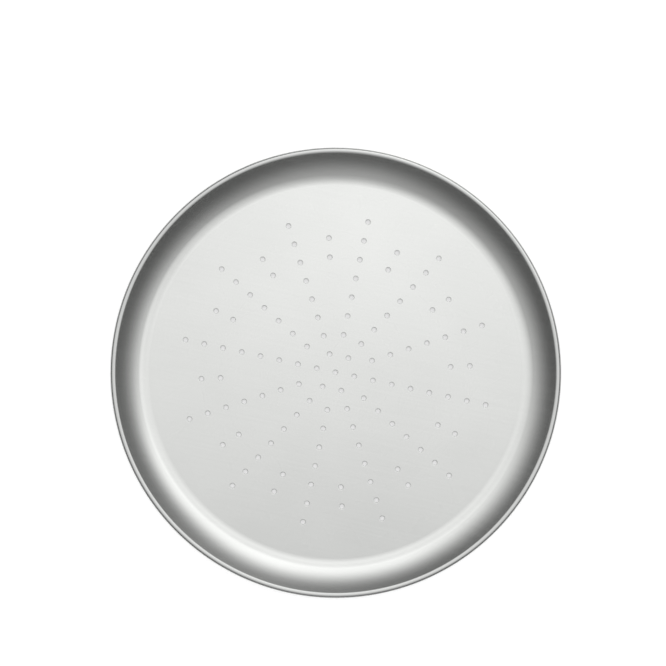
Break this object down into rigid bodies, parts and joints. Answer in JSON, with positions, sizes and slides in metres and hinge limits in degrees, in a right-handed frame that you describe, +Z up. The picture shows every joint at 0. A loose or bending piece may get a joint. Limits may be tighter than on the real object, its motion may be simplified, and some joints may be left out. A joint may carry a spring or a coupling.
{
  "type": "perforated pizza pan",
  "caption": "Round shallow pizza pan of satin anodised aluminium sheet, with a flat perforated base, rounded corner, steep flared wall and outward-curled rim bead.",
  "frame": {"origin": "centre of the underside of the base, level with the surface that the pan stands on", "axes": "+Z up along the pan's axis, out of its open top; +X along a spoke of vent holes that has a hole in every ring; +Y completes the right-handed frame, along a spoke square to it"},
  "size_m": [0.32, 0.32, 0.014],
  "materials": {
    "anodised_aluminium": "satin anodised, etched to a fine matt grain before the anodising"
  },
  "bodies": {
    "root": {"pan": "anodised_aluminium"}
  },
  "joints": []
}
